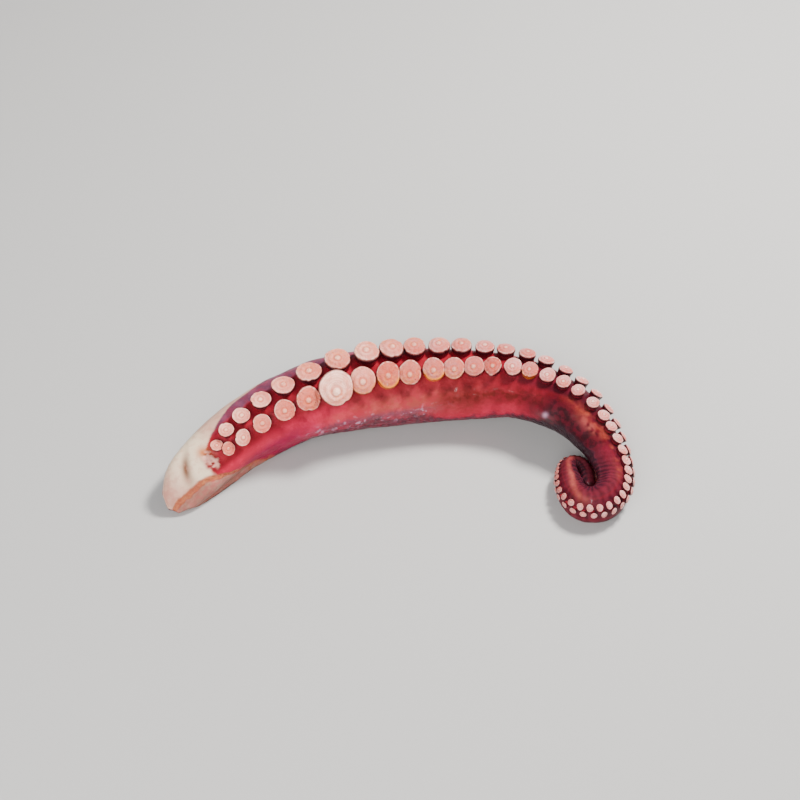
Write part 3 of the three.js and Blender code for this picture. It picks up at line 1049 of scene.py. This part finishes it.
def skin_colour(shading):
    """The layers of the skin one over another, and the marks on them."""
    breakup = shading.noise(2.4, detail=3)
    mottle = shading.noise(7, detail=4, roughness=0.6)
    along = shading.zone("along")
    back = shading.zone("back_skin")
    white = shading.zone("white_flesh")
    colour = tone(SKIN_BASE)
    for zone, code, strength, broken in SKIN_LAYERS:
        share = shading.times(shading.zone(zone), strength)
        if broken:
            share = shading.times(share, shading.spread(breakup, 0.38, 0.62, 1 - broken, 1))
        colour = shading.mix(share, colour, tone(code))

    not_white = shading.maths("SUBTRACT", 1.0, white)
    spots = shading.times(shading.spread(mottle, 0.62, 0.45), not_white, SKIN_SPOTS_STRENGTH)
    darker = shading.mix(1.0, colour, tone(SKIN_SPOTS), blend="MULTIPLY")
    colour = shading.mix(spots, colour, darker)

    speckles = shading.times(back, shading.spread(shading.noise(1.1), 0.55, 0.68))
    speckles = shading.times(speckles, shading.spread(along, 150, 200, 0.55, 0.1))
    # Painted glints: pale flecks standing in for the sparkling highlights of the wet purple rim.
    rim_painted_glints = shading.times(
        shading.zone("glossy"),
        shading.spread(shading.noise(3.6), 0.57, 0.65),
        shading.spread(along, 155, 140),
    )
    marks = {
        "speckles": speckles,
        "shaded_end": shading.times(back, shading.spread(along, 160, 200)),
        # Painted glints on the rim together with the painted highlight on the lump.
        "painted_glints": shading.maths("MAXIMUM", rim_painted_glints, shading.zone("painted_gleam")),
        # Warm brownish mottling over the white flesh.
        "warm_mottling": shading.times(white, shading.spread(breakup, 0.48, 0.68)),
        "rays": shading.times(shading.zone("rays"), shading.spread(along, 228, 246)),
    }
    for name, share in marks.items():
        colour = shading.mark(colour, SKIN_MARKS, name, share)
    return colour


def skin_material(wet_skin):
    """Skin and bare flesh of the arm's body."""
    shading = Shading("octopus_skin")
    colour = skin_colour(shading)
    back = shading.zone("back_skin")
    fine = shading.group(wet_skin, Size=1100.0, Dry_Roughness=0.45, Wet_Roughness=0.36)
    rough_share = shading.plus(back, shading.zone("cut_edge"))
    relief_share = shading.spread(rough_share, 0.0, 1.0, 0.25, 1.0)
    height = shading.times(fine.outputs["Height"], relief_share)

    towards_tip = shading.spread(shading.zone("along"), 190, 235)
    coat = shading.spread(towards_tip, 0.0, 1.0, 0.03, 0.06)
    coat = shading.maths("ADD", coat, shading.times(back, 0.15))
    coat = shading.plus(coat, shading.times(shading.zone("glossy"), 0.7))
    dull = shading.plus(shading.zone("salmon"), shading.zone("brown_red"))
    drier = shading.times(towards_tip, 0.12)
    roughness = shading.maths("ADD", fine.outputs["Roughness"], drier)
    roughness = shading.maths("ADD", roughness, shading.times(dull, 0.25))
    finish_flesh(
        shading, colour, height, bump_height=0.45, roughness=roughness, coat=coat, subsurface=0.1
    )
    return shading.material


def disc_colour(shading, along, radius):
    """Colour of the discs, from the pale large ones to the darker ones at the tip."""
    tint = shading.zone("tint")
    pale = shading.mix(tint, tone("ffc4b0"), tone("c85a46"))
    pink = shading.mix(tint, tone("f0b4b0"), tone("983e3a"))
    disc = shading.mix(shading.spread(along, 95, 150), pale, pink)
    disc = shading.mix(shading.spread(along, 170, 220), disc, tone("d09c98"))
    # Discs in the curl turn purple and darker: a purple tone with painted shade of the curl's
    # inside.
    disc = shading.mix(shading.spread(along, 258, 278), disc, tone("84484c"))
    wave = shading.maths("SINE", shading.times(radius, DISC_LINES))
    rim = shading.spread(radius, 0.84, 0.92)
    golden = shading.times(
        shading.zone("facing"),
        shading.spread(shading.noise(1.3), 0.42, 0.62),
        shading.band(along, (60, 95), (165, 145)),
    )
    marks = {
        # Painted shade: each disc redder on one side.
        "shaded_side": shading.times(shading.zone("reddening"), shading.spread(radius, 0.1, 0.7)),
        "streaks": shading.times(shading.zone("streak"), shading.spread(radius, 0.2, 0.6)),
        "ring": shading.band(radius, (0.50, 0.60), (0.78, 0.64)),
        # The hollow round the button: an orange-red tint with painted shade in it.
        "hollow_tint_and_shade": shading.band(radius, (0.16, 0.26), (0.42, 0.3)),
        "button": shading.spread(radius, 0.26, 0.12),
        "lines": shading.times(shading.spread(wave, -0.2, 1.0), shading.spread(radius, 0.3, 0.5)),
        "rim": shading.times(rim, shading.spread(shading.noise(1.6), 0.4, 0.6)),
        "blotches": shading.spread(shading.noise(2.4, detail=3), 0.45, 0.7),
        "golden": golden,
    }
    for name, share in marks.items():
        disc = shading.mark(disc, DISC_MARKS, name, share)
    return disc


def sucker_material(wet_skin):
    """Discs and stalks of the suckers."""
    shading = Shading("sucker_flesh")
    radius = shading.zone("radius")
    height = shading.zone("height")
    disc = disc_colour(shading, shading.zone("along"), radius)
    # Painted amber glow of light let through, on the walls and rims of some near suckers.
    glowing_side = shading.spread(shading.zone("facing"), 0.5, 0.85)
    painted_glow = shading.times(shading.zone("painted_glow"), glowing_side)
    # Dark red stalk wall, darker towards its top as painted shade under the disc's overhang.
    shaded_wall = shading.mix(shading.spread(height, 0.2, 0.7), tone("701822"), tone("340a12"))
    shaded_wall = shading.mix(painted_glow, shaded_wall, tone("d0640c"))
    glowing_rim = shading.times(painted_glow, shading.spread(radius, 0.7, 0.92))
    disc = shading.mark(disc, DISC_MARKS, "painted_glow", glowing_rim)
    disc = shading.mark(disc, DISC_MARKS, "dark_edge", shading.spread(radius, 0.925, 0.975))
    colour = shading.mix(shading.spread(height, 0.92, 0.975), shaded_wall, disc)
    fine = shading.group(wet_skin, Size=1500.0, Dry_Roughness=0.42, Wet_Roughness=0.26)
    relief = shading.times(fine.outputs["Height"], 0.8)
    roughness = fine.outputs["Roughness"]
    finish_flesh(
        shading, colour, relief, bump_height=0.6, roughness=roughness, coat=0.45, subsurface=0.12
    )
    return shading.material


# ---- Camera, light and floor ----
CAMERA_PLACE = (0.00036, -0.58377, 0.6180)
CAMERA_LENS = 85.5
CAMERA_TILT = 45
# Soft light of the room.
ROOM_COLOUR = (0.92, 0.95, 1.0, 1)
ROOM_STRENGTH = 0.36
# Each lamp: its name, place, size, power and colour, and whether the wet coat mirrors it. The two
# small lamps are there for glints.
LAMPS_AIM = (0, 0, 0.02)
LAMPS = [
    ("key", (0.45, 0.35, 0.75), 0.2, 28, (1, 0.97, 0.93), False),
    ("fill", (-0.35, -0.8, 0.42), 0.9, 19, (1, 0.97, 0.96), False),
    ("glints", (-0.12, -0.75, 0.75), 0.08, 3, (1, 1, 1), True),
    ("low_glints", (0.02, -0.85, 0.12), 0.06, 1, (1, 1, 1), True),
]
FLOOR_SIZE = 8
FLOOR_COLOUR = (0.37, 0.367, 0.362, 1)
FLOOR_ROUGHNESS = 0.7


def add_camera():
    data = bpy.data.cameras.new("camera")
    data.lens = CAMERA_LENS
    camera = bpy.data.objects.new("camera", data)
    bpy.context.collection.objects.link(camera)
    camera.location = CAMERA_PLACE
    camera.rotation_euler = (math.radians(CAMERA_TILT), 0, 0)
    bpy.context.scene.camera = camera


def add_lamp(name, place, size, power, colour, mirrored):
    data = bpy.data.lights.new(name, "AREA")
    data.size = size
    data.energy = power
    data.color = colour
    light = bpy.data.objects.new(name, data)
    bpy.context.collection.objects.link(light)
    light.location = place
    direction = Vector(LAMPS_AIM) - Vector(place)
    light.rotation_euler = direction.to_track_quat("-Z", "Y").to_euler()
    light.visible_glossy = mirrored


def add_studio():
    """Soft room light, the lamps and a plain pale floor."""
    world = bpy.data.worlds.new("soft_room")
    world.use_nodes = True
    background = world.node_tree.nodes["Background"]
    background.inputs["Color"].default_value = ROOM_COLOUR
    background.inputs["Strength"].default_value = ROOM_STRENGTH
    bpy.context.scene.world = world
    for lamp in LAMPS:
        add_lamp(*lamp)
    bpy.ops.mesh.primitive_plane_add(size=FLOOR_SIZE, location=(0, 0, 0))
    floor = bpy.context.object
    floor.name = "floor"
    shading = Shading("pale_floor")
    shading.finish({"Base Color": FLOOR_COLOUR, "Roughness": FLOOR_ROUGHNESS})
    floor.data.materials.append(shading.material)


add_camera()
add_studio()
near_suckers, far_suckers = all_sucker_frames()
body = build_skin(near_suckers + far_suckers)
near_row = build_suckers("near_suckers", near_suckers)
far_row = build_suckers("far_suckers", far_suckers)

wet_skin = wet_skin_group()
body.data.materials.append(skin_material(wet_skin))
disc_flesh = sucker_material(wet_skin)
near_row.data.materials.append(disc_flesh)
far_row.data.materials.append(disc_flesh)
